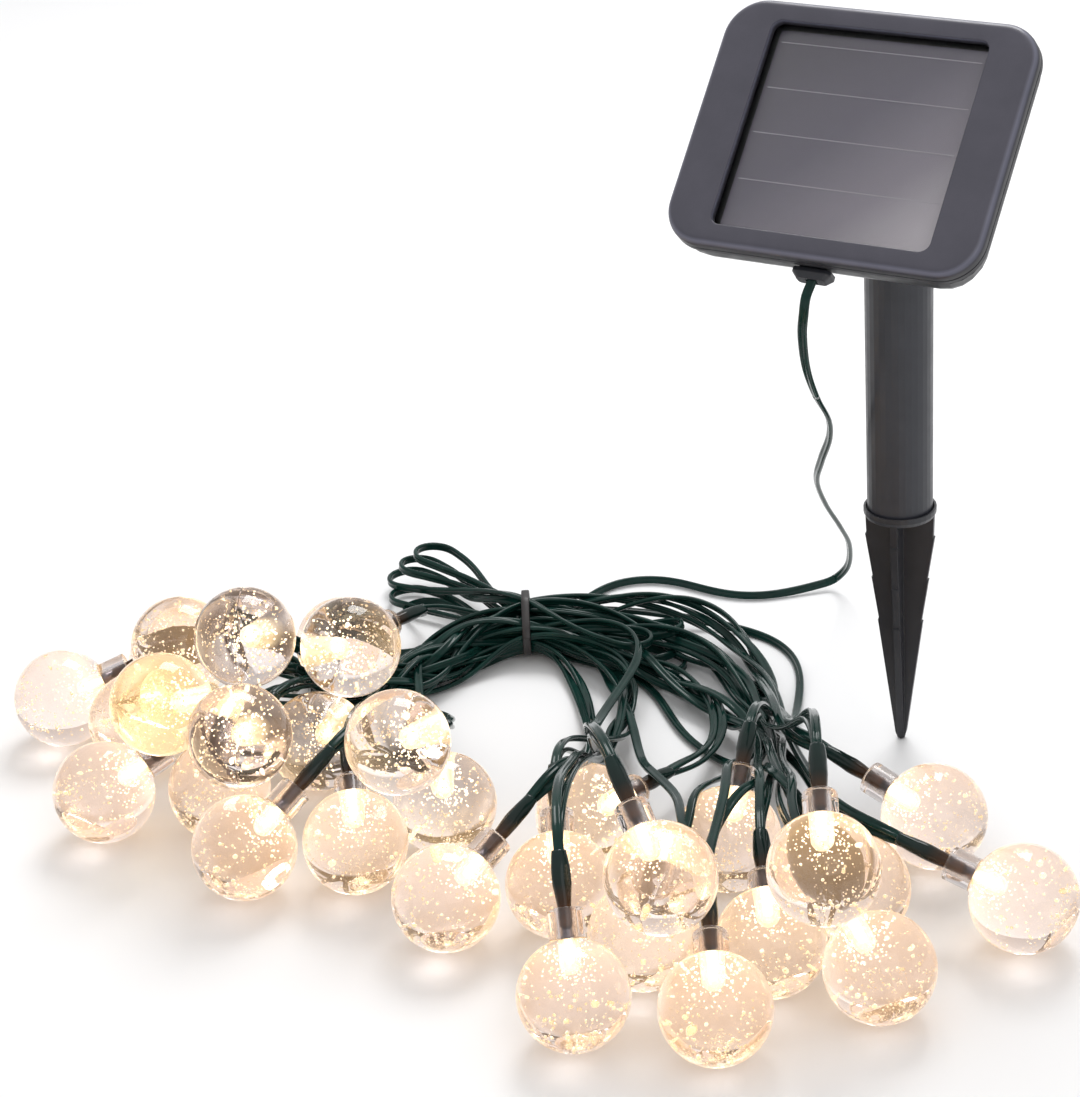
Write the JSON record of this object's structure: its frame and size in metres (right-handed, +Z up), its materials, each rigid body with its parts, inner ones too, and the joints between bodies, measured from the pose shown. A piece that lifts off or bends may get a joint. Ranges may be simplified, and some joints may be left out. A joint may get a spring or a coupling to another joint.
{
  "type": "solar string lights",
  "caption": "Clear bubble-filled globe lamps on a gathered flat twin cable, with a tilting solar panel on a ground stake.",
  "frame": {"origin": "tip of the ground spike, in the plane that the gathered string lies on", "axes": "+Z up along the stake, +X along the tilt hinge, the solar panel faces -Y and upwards"},
  "size_m": [0.3414, 0.2845, 0.2265],
  "materials": {
    "housing_plastic": "satin moulded plastic, anthracite",
    "spike_plastic": "satin moulded plastic, near black",
    "window_clear": "clear flat window",
    "solar_cell": "purple-grey thin film with four silver lines",
    "seal_rubber": "matte black rubber",
    "circuit_board": "green solder mask",
    "steel": "plated steel",
    "battery_wrap": "printed sleeve, plain green",
    "clear_globe": "clear cast plastic full of small bubbles",
    "cable_sheath": "dark green glossy flat twin cable",
    "tie": "dark plastic tie"
  },
  "bodies": {
    "spike_and_string": {"ground_spike": "spike_plastic", "globe_01": "clear_globe", "globe_02": "clear_globe", "globe_03": "clear_globe", "globe_04": "clear_globe", "globe_05": "clear_globe", "globe_06": "clear_globe", "globe_07": "clear_globe", "globe_08": "clear_globe", "globe_09": "clear_globe", "globe_10": "clear_globe", "globe_11": "clear_globe", "globe_12": "clear_globe", "globe_13": "clear_globe", "globe_14": "clear_globe", "globe_15": "clear_globe", "globe_16": "clear_globe", "globe_17": "clear_globe", "globe_18": "clear_globe", "globe_19": "clear_globe", "globe_20": "clear_globe", "globe_21": "clear_globe", "globe_22": "clear_globe", "globe_23": "clear_globe", "globe_24": "clear_globe", "globe_25": "clear_globe", "globe_26": "clear_globe", "globe_27": "clear_globe", "globe_28": "clear_globe", "globe_29": "clear_globe", "globe_30": "clear_globe", "lead_drop": "cable_sheath", "lead_on_floor": "cable_sheath", "hank": "cable_sheath", "branch_left": "cable_sheath", "branch_front": "cable_sheath", "branch_right": "cable_sheath", "cable_tie": "tie"},
    "post": {"stake_tube": "housing_plastic", "post_bracket": "housing_plastic", "tilt_bolt": "steel"},
    "head": {"front_frame": "housing_plastic", "panel_window": "window_clear", "solar_cell": "solar_cell", "housing_seal": "seal_rubber", "rear_housing": "housing_plastic", "cable_gland": "seal_rubber", "battery_cell": "battery_wrap", "contact_plate": "steel", "contact_spring": "steel", "cover_seal": "seal_rubber", "circuit_board": "circuit_board", "housing_screw_1": "steel", "housing_screw_2": "steel", "housing_screw_3": "steel", "housing_screw_4": "steel"},
    "knob": {"tilt_knob": "housing_plastic"},
    "switch": {"switch_button": "seal_rubber"},
    "cover": {"battery_cover": "housing_plastic"}
  },
  "joints": [
    {"name": "post_swivel", "type": "hinge", "parent": "spike_and_string", "child": "post", "pos_m": [0, 0, 0.0745], "axis": [0, 0, 1], "range_deg": [-60, 60], "deforming": ["lead_drop"]},
    {"name": "panel_tilt", "type": "hinge", "parent": "post", "child": "head", "pos_m": [0, 0, 0.178], "axis": [1, 0, 0], "range_deg": [-46.5, 43.5], "deforming": ["lead_drop"]},
    {"name": "knob_turn", "type": "hinge", "parent": "post", "child": "knob", "pos_m": [0.013, 0, 0.178], "axis": [1, 0, 0], "continuous": true},
    {"name": "switch_press", "type": "slide", "parent": "head", "child": "switch", "axis": [0, -0.7254, 0.6884], "range_m": [0, 0.0012], "stiffness_N_per_m": 400, "springref_m": -0.0005},
    {"name": "cover_lift", "type": "slide", "parent": "head", "child": "cover", "axis": [0, 0.7254, -0.6884], "range_m": [0, 0.025]}
  ]
}
